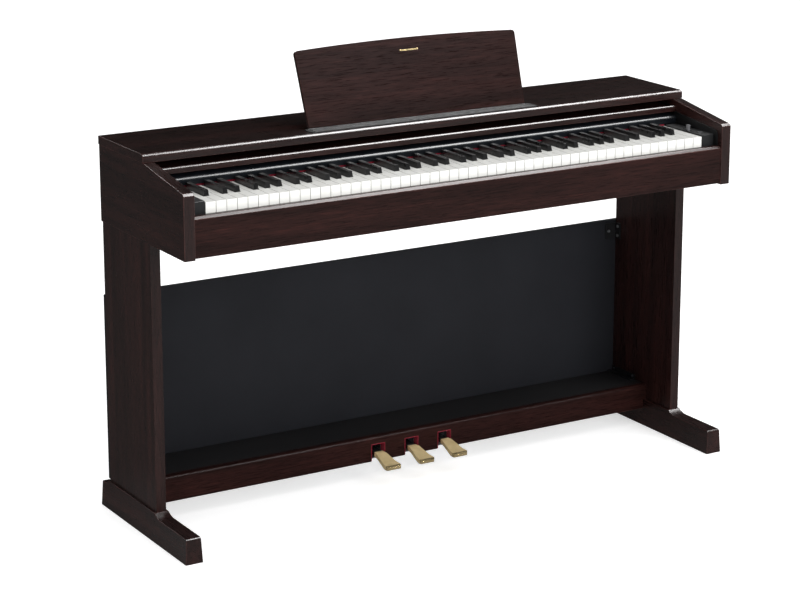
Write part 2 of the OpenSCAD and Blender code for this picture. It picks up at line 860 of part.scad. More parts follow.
module back_board() {
    color([0.16, 0.17, 0.19]) from_front() difference() {
        block(-leg_x1 + 2, leg_x1 - 2, leg_y1, leg_y1 + back_board_t, foot_h + 1, back_board_top);
        for (side = [-1, 1])
            translate([side * board_screw[0], leg_y1 - 1, board_screw[1]]) rotate([-90, 0, 0])
                cylinder(h = screw_l - 2, r = screw_r + screw_fit);
    }
}

// Front board of the pedal box, notched over the feet
module pedal_box_front() {
    round_r = 10;
    notch_gap = 0.5;
    top = pedal_box_z + pedal_box_h;
    color([0.18, 0.12, 0.11]) from_front() difference() {
        run_x(-leg_x0, leg_x0)
            polygon(concat(
                [[box_y0, pedal_box_z]],
                arc(box_y0 + round_r, top - round_r, round_r, 180, 90, 8),
                [[box_y0 + box_front_t, top], [box_y0 + box_front_t, pedal_box_z]]
            ));
        for (x = pedal_xs)
            block(x - pedal_slot_w / 2, x + pedal_slot_w / 2, box_y0 - 1, box_y0 + box_front_t + 1,
                pedal_box_z - 1, pedal_box_z + pedal_slot_h);
        both_sides()
            block(foot_x0 - notch_gap, leg_x0 + 1, box_y0 - 1, box_y0 + box_front_t + 1,
                pedal_box_z - 1, foot_h + notch_gap);
    }
}

module pedal_box_top() {
    top = pedal_box_z + pedal_box_h;
    color([0.05, 0.05, 0.06]) from_front()
        block(-leg_x0, leg_x0, box_y0 + box_front_t, leg_y1, top - box_top_t, top - 0.5);
}

// Red felt lining on the roof and the cheeks of each pedal opening
module pedal_felts() {
    half = pedal_slot_w / 2;
    color([0.62, 0.08, 0.12]) from_front() for (x = pedal_xs) difference() {
        block(x - half, x + half, box_y0 - 0.4, box_y0 + box_front_t,
            pedal_box_z + 0.5, pedal_box_z + pedal_slot_h);
        block(x - half + felt_t, x + half - felt_t, box_y0 - 1, box_y0 + box_front_t + 1,
            pedal_box_z - 1, pedal_box_z + pedal_slot_h - felt_t);
    }
}

module pedal_chassis() {
    half = pedal_pitch + 90;
    front = box_y0 + box_front_t;
    back = leg_y1 - 2;
    rib_xs = [for (x = pedal_xs, side = [-1, 1]) x + side * (pedal_arm_w / 2 + 2)];
    color([0.55, 0.56, 0.58]) from_front() union() {
        block(-half, half, front, back, pedal_box_z, pedal_box_z + sheet_t);
        block(-half, half, axle_y - 12, back, chassis_top - sheet_t, chassis_top);
        block(-half, half, back - sheet_t, back, pedal_box_z, chassis_top);
        for (x = rib_xs)
            block(x - rib_t / 2, x + rib_t / 2, axle_y - 12, back, pedal_box_z, chassis_top);
        bar_x(rib_xs[0], rib_xs[len(rib_xs) - 1], axle_y, axle_z, axle_r);
    }
}

// Pedal with its tip towards the player, its arm turning on the axle
module pedal(x) {
    root_w = 19;
    tip_y = box_y0 - pedal_reach;
    tip_r = 8;
    root_y = box_y0 + 6;
    body_t = 9;
    tip_top = pedal_box_z + 9;
    root_top = pedal_box_z + 21;
    half = pedal_w / 2;
    color([0.72, 0.6, 0.36]) from_front() difference() {
        union() {
            intersection() {
                translate([x, 0, 0]) linear_extrude(2 * pedal_box_z)
                    polygon(concat(
                        arc(half - tip_r, tip_y + tip_r, tip_r, 0, -70, 5),
                        arc(tip_r - half, tip_y + tip_r, tip_r, -110, -180, 5),
                        [[-root_w / 2, root_y], [root_w / 2, root_y]]
                    ));
                run_x(x - pedal_w, x + pedal_w)
                    polygon([
                        [tip_y, tip_top - body_t + 2], [tip_y, tip_top - 3], [tip_y + 5, tip_top],
                        [tip_y + 24, tip_top + 2],
                        [box_y0 - 14, root_top], [root_y, root_top + 1],
                        [root_y, root_top + 1 - body_t], [box_y0 - 18, root_top - body_t - 2],
                        [tip_y + 18, tip_top - body_t], [tip_y + 2, tip_top - body_t]
                    ]);
            }
            run_x(x - pedal_arm_w / 2, x + pedal_arm_w / 2)
                polygon([
                    [root_y - 4, root_top + 1], [axle_y, axle_z + 7], [spring_y + 9, spring_seat],
                    [spring_y + 9, spring_seat - 8], [axle_y, axle_z - 7], [root_y - 4, root_top + 1 - body_t]
                ]);
        }
        bar_x(x - pedal_w, x + pedal_w, axle_y, axle_z, axle_r + axle_fit);
    }
}

module pedal_left() {
    pedal(pedal_xs[0]);
}

module pedal_centre() {
    pedal(pedal_xs[1]);
}

module pedal_right() {
    pedal(pedal_xs[2]);
}

// Points round one section of a spring's wire
function spring_ring(k, h) =
    let (a = 360 * k / spring_steps, z = h * k / (spring_turns * spring_steps))
    [for (j = [0:spring_sides - 1])
        let (b = 360 * j / spring_sides, r = spring_r + spring_wire * cos(b))
        [r * cos(a), r * sin(a), z + spring_wire * sin(b)]];

// Compression spring between a pedal's tail and the roof of the chassis, as a swept round wire
module pedal_spring(x) {
    h = chassis_top - sheet_t - spring_seat - 2 * spring_wire - 0.2;
    last = spring_turns * spring_steps;
    points = [for (k = [0:last], p = spring_ring(k, h)) p];
    sides = [for (k = [0:last - 1], j = [0:spring_sides - 1])
        let (n = (j + 1) % spring_sides)
        [k * spring_sides + j, k * spring_sides + n, (k + 1) * spring_sides + n, (k + 1) * spring_sides + j]];
    ends = [
        [for (j = [spring_sides - 1:-1:0]) j],
        [for (j = [0:spring_sides - 1]) last * spring_sides + j]
    ];
    color([0.6, 0.6, 0.62]) from_front()
        translate([x, spring_y, spring_seat + spring_wire + 0.1])
            polyhedron(points, concat(sides, ends));
}

module pedal_spring_left() {
    pedal_spring(pedal_xs[0]);
}

module pedal_spring_centre() {
    pedal_spring(pedal_xs[1]);
}

module pedal_spring_right() {
    pedal_spring(pedal_xs[2]);
}

// Folded steel brackets in the corners between legs, back board and pedal box
module corner_brackets() {
    box_top = pedal_box_z + pedal_box_h;
    hole_r = screw_r + screw_fit;
    color([0.07, 0.07, 0.07]) both_sides() from_front() {
        difference() {
            union() {
                block(leg_x0 - bracket_w, leg_x0, leg_y1 - bracket_t, leg_y1,
                    bracket_top - bracket_h, bracket_top);
                block(leg_x0 - bracket_t, leg_x0, leg_y1 - 20, leg_y1,
                    bracket_top - bracket_h, bracket_top);
            }
            for (s = [leg_screws[0], leg_screws[1]])
                bar_x(leg_x0 - bracket_t - 1, leg_x0 + 1, s[0], s[1], hole_r);
            translate([board_screw[0], leg_y1 - bracket_t - 1, board_screw[1]]) rotate([-90, 0, 0])
                cylinder(h = bracket_t + 2, r = hole_r);
        }
        difference() {
            union() {
                block(leg_x0 - bracket_t, leg_x0, leg_y1 - rail_bracket_l, leg_y1,
                    box_top - 0.5, box_top + rail_bracket_h);
                block(leg_x0 - 16, leg_x0, leg_y1 - rail_bracket_l, leg_y1, box_top - 0.5, box_top + 1.5);
            }
            for (s = [leg_screws[2], leg_screws[3]])
                bar_x(leg_x0 - bracket_t - 1, leg_x0 + 1, s[0], s[1], hole_r);
        }
    }
}

// Pan head screws through the brackets
module stand_screws() {
    shank_r = screw_r - screw_fit;
    shank = screw_l - 3;
    head_x = leg_x0 - bracket_t - screw_head_h;
    color([0.75, 0.75, 0.77]) both_sides() from_front() {
        for (s = leg_screws) union() {
            bar_x(head_x, leg_x0 - bracket_t, s[0], s[1], screw_head_r);
            bar_x(head_x, leg_x0 + shank, s[0], s[1], shank_r);
        }
        translate([board_screw[0], leg_y1 - bracket_t - screw_head_h, board_screw[1]])
            rotate([-90, 0, 0]) union() {
                cylinder(h = screw_head_h, r = screw_head_r);
                cylinder(h = screw_head_h + bracket_t + shank - 4, r = shank_r);
            }
    }
}

top_board();
side_panel_left();
side_panel_right();
front_rail();
bottom_board();
rear_board();
control_panel();
key_cover();
cover_guide_left();
cover_guide_right();
end_block_left();
end_block_right();
music_rest();
music_ledge();
rest_hinges();
rest_brackets();
rest_stay();
power_button();
volume_slider();
song_button();
metronome_button();
record_button();
voice_button();
key_felts();
key_chassis();
key_pivot_rod();
white_keys(0);  // keys_c
white_keys(1);  // keys_d
white_keys(2);  // keys_e
white_keys(3);  // keys_f
white_keys(4);  // keys_g
white_keys(5);  // keys_a
white_keys(6);  // keys_b
key_middle_c();
black_keys(0);  // keys_c_sharp
black_keys(1);  // keys_d_sharp
black_keys(3);  // keys_f_sharp
black_keys(4);  // keys_g_sharp
black_keys(5);  // keys_a_sharp
speakers();
speaker_grilles();
main_circuit_board();
jack_panel();
leg_left();
leg_right();
foot_left();
foot_right();
back_board();
pedal_box_front();
pedal_box_top();
pedal_chassis();
pedal_felts();
pedal_left();
pedal_centre();
pedal_right();
pedal_spring_left();
pedal_spring_centre();
pedal_spring_right();
corner_brackets();
stand_screws();
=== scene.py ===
"""A digital piano on its panel stand: the looks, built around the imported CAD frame.

Lengths are in metres, in the row frame: +X to the player's right, +Y away from the player, +Z up.
The CAD nodes keep their shapes and get procedural materials, most of them with softened edges. The red
felts, the screws, the slider and the pedal springs are replaced by pieces made here, and the sockets and
the bar on the music rest are added.
"""

import json
import math

import bmesh
import bpy
from mathutils import Matrix, Vector
from mathutils.bvhtree import BVHTree


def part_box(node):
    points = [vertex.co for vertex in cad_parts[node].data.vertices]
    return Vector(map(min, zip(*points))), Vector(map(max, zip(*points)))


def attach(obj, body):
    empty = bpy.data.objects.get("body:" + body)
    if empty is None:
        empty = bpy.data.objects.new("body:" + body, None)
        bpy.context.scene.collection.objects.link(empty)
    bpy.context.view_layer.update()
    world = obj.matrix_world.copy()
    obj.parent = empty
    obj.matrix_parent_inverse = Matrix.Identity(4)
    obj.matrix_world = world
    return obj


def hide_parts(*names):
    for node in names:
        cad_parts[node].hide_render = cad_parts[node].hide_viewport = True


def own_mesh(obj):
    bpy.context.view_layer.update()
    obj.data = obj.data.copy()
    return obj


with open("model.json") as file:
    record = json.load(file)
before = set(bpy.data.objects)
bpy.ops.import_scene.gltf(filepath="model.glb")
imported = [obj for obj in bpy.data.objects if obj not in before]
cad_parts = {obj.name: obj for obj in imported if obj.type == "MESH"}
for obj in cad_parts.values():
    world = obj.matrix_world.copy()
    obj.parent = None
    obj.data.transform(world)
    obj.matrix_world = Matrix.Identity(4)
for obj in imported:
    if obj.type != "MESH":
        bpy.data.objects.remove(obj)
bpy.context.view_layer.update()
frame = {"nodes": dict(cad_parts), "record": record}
MM = 0.001

# ---------------------------------------------------------------- shader helpers


class Finish:
    """One material: a Principled shader, and short ways to add and link nodes to it."""

    def __init__(self, name, **shader):
        self.material = bpy.data.materials.new(name)
        self.material.use_nodes = True
        self.tree = self.material.node_tree
        self.shader = self.tree.nodes["Principled BSDF"]
        self.coordinates = self.tree.nodes.new("ShaderNodeTexCoord")
        self.place = self.coordinates.outputs["Object"]
        self.set(**shader)

    def put(self, socket, value):
        """Links a socket to another, or sets its value."""
        if isinstance(value, bpy.types.NodeSocket):
            self.tree.links.new(value, socket)
        elif isinstance(value, tuple) and len(value) == 3 and socket.type == "RGBA":
            socket.default_value = (*value, 1.0)
        else:
            socket.default_value = value

    def set(self, **values):
        """Sets the shader's sockets: base_color, roughness, metallic, coat_weight and so on."""
        for key, value in values.items():
            name = "Specular IOR Level" if key == "specular" else key.replace("_", " ").title()
            self.put(self.shader.inputs[name], value)

    def split(self, vector, axis):
        """One of a vector's "X", "Y" and "Z"."""
        node = self.tree.nodes.new("ShaderNodeSeparateXYZ")
        self.put(node.inputs[0], vector)
        return node.outputs[axis]

    def faces_along(self, axis, least):
        """1 where the surface faces along an axis, either way, by more than least; 0 elsewhere."""
        part = self.split(self.coordinates.outputs["Normal"], axis)
        return self.sum("GREATER_THAN", self.sum("ABSOLUTE", part, 0.0), least)

    def stretch(self, scale, offset=(0, 0, 0)):
        """The object's own coordinates, scaled and shifted."""
        node = self.tree.nodes.new("ShaderNodeMapping")
        self.put(node.inputs["Vector"], self.place)
        node.inputs["Scale"].default_value = scale
        node.inputs["Location"].default_value = offset
        return node.outputs["Vector"]

    def noise(self, scale, detail=2.0, rough=0.5, source=None, distortion=0.0):
        node = self.tree.nodes.new("ShaderNodeTexNoise")
        self.put(node.inputs["Vector"], source or self.place)
        node.inputs["Scale"].default_value = scale
        node.inputs["Detail"].default_value = detail
        node.inputs["Roughness"].default_value = rough
        node.inputs["Distortion"].default_value = distortion
        return node.outputs["Fac"]

    def cells(self, scale, source=None, feature="F1"):
        node = self.tree.nodes.new("ShaderNodeTexVoronoi")
        node.feature = feature
        self.put(node.inputs["Vector"], source or self.place)
        node.inputs["Scale"].default_value = scale
        return node.outputs["Distance"]

    def sum(self, operation, a, b):
        """One arithmetic step, such as "ADD" or "MULTIPLY"."""
        node = self.tree.nodes.new("ShaderNodeMath")
        node.operation = operation
        self.put(node.inputs[0], a)
        self.put(node.inputs[1], b)
        return node.outputs[0]

    def spread(self, value, low, high, start=0.0, end=1.0):
        """Maps start..end onto low..high, clamped."""
        node = self.tree.nodes.new("ShaderNodeMapRange")
        self.put(node.inputs["Value"], value)
        node.inputs["From Min"].default_value = start
        node.inputs["From Max"].default_value = end
        node.inputs["To Min"].default_value = low
        node.inputs["To Max"].default_value = high
        return node.outputs["Result"]

    def mix(self, share, a, b):
        """A colour between a and b."""
        node = self.tree.nodes.new("ShaderNodeMix")
        node.data_type = "RGBA"
        self.put(node.inputs[0], share)
        self.put(node.inputs[6], a)
        self.put(node.inputs[7], b)
        return node.outputs[2]

    def ramp(self, value, *stops):
        """A colour ramp with (position, colour) stops."""
        node = self.tree.nodes.new("ShaderNodeValToRGB")
        self.put(node.inputs["Fac"], value)
        elements = node.color_ramp.elements
        while len(elements) < len(stops):
            elements.new(1.0)
        for element, (position, colour) in zip(elements, stops):
            element.position = position
            element.color = (*colour, 1.0)
        return node.outputs["Color"]

    def bump(self, height, strength, depth):
        """Fine relief, depth metres deep where height is 1."""
        node = self.tree.nodes.new("ShaderNodeBump")
        node.inputs["Strength"].default_value = strength
        node.inputs["Distance"].default_value = depth
        self.put(node.inputs["Height"], height)
        self.set(normal=node.outputs["Normal"])


# ---------------------------------------------------------------- materials

KEY_PITCH = 23.5 * MM
GRAIN = {"x": (0.05, 1, 1), "y": (1, 0.05, 1), "z": (1, 1, 0.05)}


def rosewood(name, grain, offset, banded, edge, specular):
    """Dark rosewood foil with fine streaks along the grain. Banded boards have upright streaks on the front
    and back edges. The edge finish, for the bevels, is lifted paler: a painted highlight."""
    f = Finish(name, specular=specular)
    along = f.stretch(GRAIN[grain], offset)
    if banded:
        chosen = f.tree.nodes.new("ShaderNodeMix")
        chosen.data_type = "VECTOR"
        f.put(chosen.inputs[0], f.faces_along("Y", 0.6))
        f.put(chosen.inputs[4], along)
        f.put(chosen.inputs[5], f.stretch(GRAIN["z"], offset))
        along = chosen.outputs[1]
    bands = f.noise(34, 3, 0.55, along, 0.6)
    streaks = f.noise(470, 4, 0.68, along, 0.5)
    fibres = f.noise(1300, 2, 0.6, along)
    tone = f.sum("ADD", f.sum("MULTIPLY", bands, 0.42), f.sum("MULTIPLY", streaks, 0.58))
    # Painted highlight: the edge finish is coloured 2.6 times paler.
    painted_highlight_lift = 2.6 if edge else 1.0
    colour = f.ramp(
        tone,
        (0.32, (0.0064 * painted_highlight_lift, 0.0028 * painted_highlight_lift, 0.0024 * painted_highlight_lift)),
        (0.46, (0.0142 * painted_highlight_lift, 0.0055 * painted_highlight_lift, 0.0048 * painted_highlight_lift)),
        (0.57, (0.0242 * painted_highlight_lift, 0.0086 * painted_highlight_lift, 0.0074 * painted_highlight_lift)),
        (0.68, (0.0440 * painted_highlight_lift, 0.0130 * painted_highlight_lift, 0.0106 * painted_highlight_lift)),
    )
    pores = f.spread(fibres, 0.75, 1.0, 0.34, 0.46)
    f.set(base_color=f.mix(pores, (0.007, 0.0048, 0.0048), colour))
    f.set(roughness=f.spread(streaks, 0.24, 0.36, 0.3, 0.7))
    f.bump(f.sum("ADD", fibres, streaks), 0.22, 0.00010)
    return f.material


def moulded(name, colour, roughness, grain_size=0.0006, specular=0.4, relief=0.00003):
    """Moulded plastic with a fine spark-eroded grain and faint handling marks."""
    f = Finish(name, specular=specular)
    grain = f.noise(1 / grain_size, 3, 0.6)
    marks = f.noise(22, 4, 0.6, f.stretch((1, 0.6, 1), (3.1, 1.7, 0.4)))
    darker = tuple(c * 0.82 for c in colour)
    f.set(base_color=f.mix(f.spread(marks, 0.0, 1.0, 0.35, 0.65), darker, colour))
    f.set(roughness=f.spread(marks, roughness * 0.88, roughness * 1.12, 0.3, 0.7))
    f.bump(grain, 0.35, relief)
    return f.material


def painted_board(name, colour, roughness):
    """Foil or paint on particle board: matte, with a faint pebbled relief."""
    f = Finish(name, specular=0.25)
    pebbles = f.cells(620)
    cloud = f.noise(5, 4, 0.6)
    paler = tuple(c * 1.25 for c in colour)
    f.set(base_color=f.mix(f.spread(cloud, 0.0, 1.0, 0.3, 0.7), colour, paler))
    f.set(roughness=f.spread(pebbles, roughness * 0.92, roughness * 1.08, 0.1, 0.7))
    f.bump(pebbles, 0.3, 0.00005)
    return f.material


def white_key_plastic():
    """Glossy ivory-white acrylic: each key a touch different, with its flanks painted grey as the shade
    between the keys.
    """
    f = Finish("white_key_plastic", specular=0.5, coat_weight=0.25, coat_roughness=0.08)
    key = f.sum("FLOOR", f.sum("DIVIDE", f.split(f.place, "X"), KEY_PITCH), 0.0)
    chance = f.tree.nodes.new("ShaderNodeTexWhiteNoise")
    chance.noise_dimensions = "1D"
    f.put(chance.inputs["W"], key)
    cloud = f.noise(40, 3, 0.5)
    white = f.mix(chance.outputs["Value"], (0.86, 0.86, 0.825), (0.90, 0.90, 0.87))
    greyed = f.mix(f.spread(cloud, 0.0, 0.35, 0.55, 0.8), white, (0.82, 0.815, 0.76))
    # Painted shade: the flanks, which face along X towards the next keys, are grey.
    f.set(base_color=f.mix(f.faces_along("X", 0.9), greyed, (0.30, 0.29, 0.27)))
    f.set(roughness=f.spread(cloud, 0.16, 0.26, 0.3, 0.7))
    f.bump(f.noise(500, 2), 0.08, 0.00003)
    return f.material


def black_key_plastic():
    """Matte black with a fine lengthwise texture, a little shinier where fingers land."""
    f = Finish("black_key_plastic", specular=0.5)
    lines = f.noise(1500, 3, 0.6, f.stretch((1, 0.08, 1)))
    touch = f.noise(30, 2)
    f.set(base_color=f.mix(touch, (0.0035, 0.0035, 0.0038), (0.009, 0.009, 0.0095)))
    f.set(roughness=f.spread(touch, 0.24, 0.36, 0.3, 0.7))
    f.bump(lines, 0.4, 0.00004)
    return f.material


def felt(name, colour):
    """Pressed wool felt: mottled, fuzzy and without gloss."""
    f = Finish(name, roughness=0.95, specular=0.1, sheen_weight=0.6, sheen_roughness=0.4)
    f.set(sheen_tint=(0.9, 0.35, 0.4))
    fibres = f.noise(1400, 5, 0.7, distortion=1.5)
    tufts = f.noise(260, 3, 0.6)
    deep = tuple(c * 0.45 for c in colour)
    bright = tuple(min(1.0, c * 1.6) for c in colour)
    f.set(base_color=f.mix(f.sum("MULTIPLY", fibres, tufts), deep, bright))
    f.bump(f.sum("ADD", fibres, tufts), 0.7, 0.0004)
    return f.material


def ledge_plastic():
    """Black moulding with dull grooves; the tops of its ribs are smoother, with a painted highlight in their
    colour.
    """
    f = Finish("ledge_plastic", specular=0.3)
    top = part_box("music_ledge")[1].z
    rib = f.spread(f.split(f.place, "Z"), 0.0, 1.0, top - 0.5 * MM, top - 0.1 * MM)
    marks = f.noise(140, 3, 0.6, f.stretch((0.3, 1, 1)))
    # Painted highlight: the rib tops are coloured paler than the grooves, varied by the marks.
    paler_tone = f.mix(marks, (0.022, 0.022, 0.024), (0.050, 0.050, 0.053))
    f.set(base_color=f.mix(rib, (0.004, 0.004, 0.0045), paler_tone))
    polish = f.mix(marks, (0.30, 0.30, 0.30), (0.42, 0.42, 0.42))
    f.set(roughness=f.mix(rib, (0.7, 0.7, 0.7), polish))
    f.bump(f.noise(500, 2), 0.1, 0.00001)
    return f.material


def metal(name, colour, roughness, brush):
    """Bare metal with a brushed direction and slightly uneven tarnish."""
    f = Finish(name, metallic=1.0)
    lines = f.noise(900, 3, 0.6, f.stretch(brush))
    tarnish = f.noise(45, 4, 0.6)
    duller = tuple(c * 0.8 for c in colour)
    f.set(base_color=f.mix(f.spread(tarnish, 0.0, 1.0, 0.3, 0.7), duller, colour))
    f.set(roughness=f.spread(lines, roughness * 0.85, roughness * 1.2, 0.3, 0.7))
    f.bump(lines, 0.3, 0.00002)
    return f.material


def pedal_brass():
    """Satin lacquered brass on the tread, polished round the tip, and black from the face of the box front
    back.
    """
    f = Finish("pedal_brass")
    lines = f.noise(1100, 3, 0.6, f.stretch((1, 0.03, 1)))
    tarnish = f.noise(60, 4, 0.6)
    depth = f.split(f.place, "Y")
    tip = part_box("pedal_centre")[0].y
    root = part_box("pedal_box_front")[0].y
    tread = f.spread(depth, 0.0, 1.0, tip + 5 * MM, tip + 8 * MM)
    arm = f.spread(depth, 0.0, 1.0, root - 1 * MM, root)
    brass = f.mix(f.spread(tarnish, 0.0, 1.0, 0.3, 0.7), (0.64, 0.49, 0.245), (0.80, 0.63, 0.34))
    f.set(base_color=f.mix(arm, brass, (0.012, 0.012, 0.013)))
    f.set(metallic=f.spread(f.sum("ADD", tread, arm), 0.85, 0.25))
    f.set(roughness=f.sum("ADD", f.spread(tread, 0.16, 0.36), f.sum("MULTIPLY", lines, 0.08)))
    f.bump(lines, 0.25, 0.00002)
    return f.material


def coated_steel(name, colour, roughness):
    """Powder-coated or painted steel with a fine orange-peel."""
    f = Finish(name, specular=0.45)
    peel = f.noise(900, 2, 0.5)
    scuffs = f.noise(70, 5, 0.65)
    paler_tone = tuple(min(1.0, c * 1.5 + 0.01) for c in colour)
    f.set(base_color=f.mix(f.spread(scuffs, 0.0, 1.0, 0.58, 0.75), colour, paler_tone))
    f.set(roughness=f.spread(scuffs, roughness * 0.85, roughness * 1.1, 0.35, 0.7))
    f.bump(peel, 0.3, 0.00005)
    return f.material


def circuit_board():
    """Green solder mask with paler tracks."""
    f = Finish("circuit_board", roughness=0.35)
    tracks = f.cells(130, f.stretch((1, 1, 0.01)), "DISTANCE_TO_EDGE")
    f.set(base_color=f.mix(f.spread(tracks, 0.0, 1.0, 0.03, 0.05), (0.10, 0.30, 0.12), (0.01, 0.09, 0.04)))
    f.bump(tracks, 0.3, 0.00005)
    return f.material


def speaker_cone():
    """Black pressed paper with faint rings of fibre."""
    f = Finish("speaker_cone", roughness=0.7, specular=0.3)
    fibres = f.noise(700, 4, 0.7, distortion=0.8)
    f.set(base_color=f.mix(fibres, (0.008, 0.008, 0.009), (0.03, 0.03, 0.032)))
    f.bump(fibres, 0.6, 0.0002)
    return f.material


MATERIALS = {
    "black_board": painted_board("black_board", (0.014, 0.0135, 0.0145), 0.55),
    "back_board_paint": painted_board("back_board_paint", (0.0125, 0.0130, 0.0160), 0.62),
    # The blue tint of this black is a painted reflection.
    "gloss_black_plastic": moulded(
        "gloss_black_plastic", (0.006, 0.0075, 0.010), 0.30, grain_size=0.004, specular=0.22, relief=0.00001),
    "matte_black_plastic": moulded("matte_black_plastic", (0.008, 0.008, 0.0085), 0.5),
    "ledge_plastic": ledge_plastic(),
    "slider_plastic": moulded("slider_plastic", (0.16, 0.16, 0.17), 0.35),
    "end_block_plastic": moulded("end_block_plastic", (0.014, 0.0145, 0.0155), 0.45),
    "button_plastic": moulded("button_plastic", (0.05, 0.052, 0.056), 0.38),
    "steel": metal("zinc_steel", (0.62, 0.63, 0.66), 0.30, (1, 0.2, 1)),
    "chassis_steel": coated_steel("chassis_steel", (0.30, 0.31, 0.33), 0.45),
    "keybed_steel": coated_steel("keybed_steel", (0.02, 0.02, 0.022), 0.5),
    "black_steel": coated_steel("black_steel", (0.010, 0.010, 0.011), 0.42),
    "red_felt": felt("red_felt", (0.30, 0.014, 0.034)),
    "white_key_plastic": white_key_plastic(),
    "black_key_plastic": black_key_plastic(),
    "speaker_cone": speaker_cone(),
    "circuit_board": circuit_board(),
    "pedal_brass": pedal_brass(),
    "inlay_brass": metal("inlay_brass", (0.80, 0.62, 0.32), 0.28, (0.1, 1, 1)),
}

# The way the grain runs, and whether the front and back edges are banded
WOOD_GRAIN = {
    "top_board": ("x", False),
    "front_rail": ("x", False),
    "key_cover": ("x", False),
    "music_rest": ("x", False),
    "pedal_box_front": ("x", False),
    "side_panel_left": ("y", True),
    "side_panel_right": ("y", True),
    "foot_left": ("y", False),
    "foot_right": ("y", False),
    "leg_left": ("z", False),
    "leg_right": ("z", False),
}

# Boards that shine less than the rest
LUSTRE = {"front_rail": 0.14, "music_rest": 0.12, "pedal_box_front": 0.06}

# Nodes whose finish differs from the rest of their slot
OWN_FINISH = {"music_ledge": "ledge_plastic"}


def dress(node, slot):
    """Puts a finish on a CAD node. A wooden board has its own stretch of grain, and shinier edges with a
    painted highlight.
    """
    obj = frame["nodes"][node]
    obj.data.materials.clear()
    if slot != "rosewood_veneer":
        obj.data.materials.append(MATERIALS[OWN_FINISH.get(node, slot)])
        return
    grain, banded = WOOD_GRAIN[node]
    shift = 3.7 * sorted(WOOD_GRAIN).index(node)
    offset = (shift, 0.6 * shift, 0.3 * shift)
    gloss = LUSTRE.get(node, 0.4)
    obj.data.materials.append(rosewood("rosewood_" + node, grain, offset, banded, False, gloss))
    # The edge finish, worn by the bevels, is paler: a painted highlight.
    obj.data.materials.append(rosewood("rosewood_painted_highlight_" + node, grain, offset, banded, True, gloss + 0.1))


# Radius of the softened edges, in millimetres, and the number of steps round each
EDGES = {
    "rosewood_veneer": (1.0, 3),
    "black_board": (0.5, 2),
    "back_board_paint": (0.8, 2),
    "gloss_black_plastic": (0.5, 3),
    "matte_black_plastic": (0.4, 2),
    "end_block_plastic": (0.8, 3),
    "button_plastic": (0.5, 3),
    "chassis_steel": (0.3, 2),
    "black_steel": (0.3, 2),
    "white_key_plastic": (0.7, 3),
    "black_key_plastic": (1.1, 3),
    "pedal_brass": (1.3, 3),
}


def soften(obj, radius, steps):
    """Rounds the sharp edges without touching the mesh itself."""
    weld = obj.modifiers.new("weld", "WELD")
    weld.merge_threshold = 0.002 * MM
    planar = obj.modifiers.new("planar", "DECIMATE")
    planar.decimate_type = "DISSOLVE"
    planar.angle_limit = math.radians(0.5)
    bevel = obj.modifiers.new("bevel", "BEVEL")
    bevel.width = radius * MM
    bevel.segments = steps
    bevel.limit_method = "ANGLE"
    bevel.angle_limit = math.radians(35)
    bevel.miter_outer = "MITER_SHARP"
    # The bevels wear the second finish, where the wood has its painted highlight.
    if len(obj.data.materials) > 1:
        bevel.material = 1
    weighted = obj.modifiers.new("weighted", "WEIGHTED_NORMAL")
    weighted.weight = 100


SLOTS = {s["node"]: s["material_slot"] for s in frame["record"]["subparts"]}
for node, slot in SLOTS.items():
    dress(node, slot)
    if slot in EDGES:
        soften(frame["nodes"][node], *EDGES[slot])

# ---------------------------------------------------------------- pieces modelled here


def add_mesh(name, bm, body, slot, replaced=(), finish=None, smooth=True):
    """Makes an object of a bmesh, riding on a body. It wears its slot's finish unless another is named."""
    mesh = bpy.data.meshes.new(name)
    bm.to_mesh(mesh)
    bm.free()
    obj = bpy.data.objects.new(name, mesh)
    bpy.context.scene.collection.objects.link(obj)
    mesh.materials.append(MATERIALS[finish or slot])
    for polygon in mesh.polygons:
        polygon.use_smooth = smooth
    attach(obj, body)
    if replaced:
        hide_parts(*replaced)
    return obj


def solids_of(node):
    """The lowest and highest corners of each separate solid of a CAD node."""
    bm = bmesh.new()
    bm.from_mesh(frame["nodes"][node].data)
    bmesh.ops.remove_doubles(bm, verts=bm.verts, dist=0.01 * MM)
    boxes = []
    waiting = set(bm.verts)
    while waiting:
        island, stack = set(), [waiting.pop()]
        while stack:
            vert = stack.pop()
            island.add(vert)
            for edge in vert.link_edges:
                other = edge.other_vert(vert)
                if other in waiting:
                    waiting.discard(other)
                    stack.append(other)
        places = [v.co for v in island]
        low = Vector(min(p[i] for p in places) for i in range(3))
        high = Vector(max(p[i] for p in places) for i in range(3))
        boxes.append((low, high))
    bm.free()
    return sorted(boxes, key=lambda box: tuple(box[0]))


def circle(radius, z, steps, along=0.0):
    """A ring of points round the Z axis, or round a line beside it."""
    turn = [2 * math.pi * i / steps for i in range(steps)]
    return [(along + radius * math.cos(a), radius * math.sin(a), z) for a in turn]


def ring_mesh(bm, rings, matrix):
    """Skins a stack of rings of (x, y, z) points, and closes both ends with a fan."""
    stack = [[bm.verts.new(matrix @ Vector(point)) for point in ring] for ring in rings]
    for low, high in zip(stack, stack[1:]):
        for i in range(len(low)):
            n = (i + 1) % len(low)
            bm.faces.new((low[i], low[n], high[n], high[i]))
    bm.faces.new(list(reversed(stack[0])))
    bm.faces.new(stack[-1])


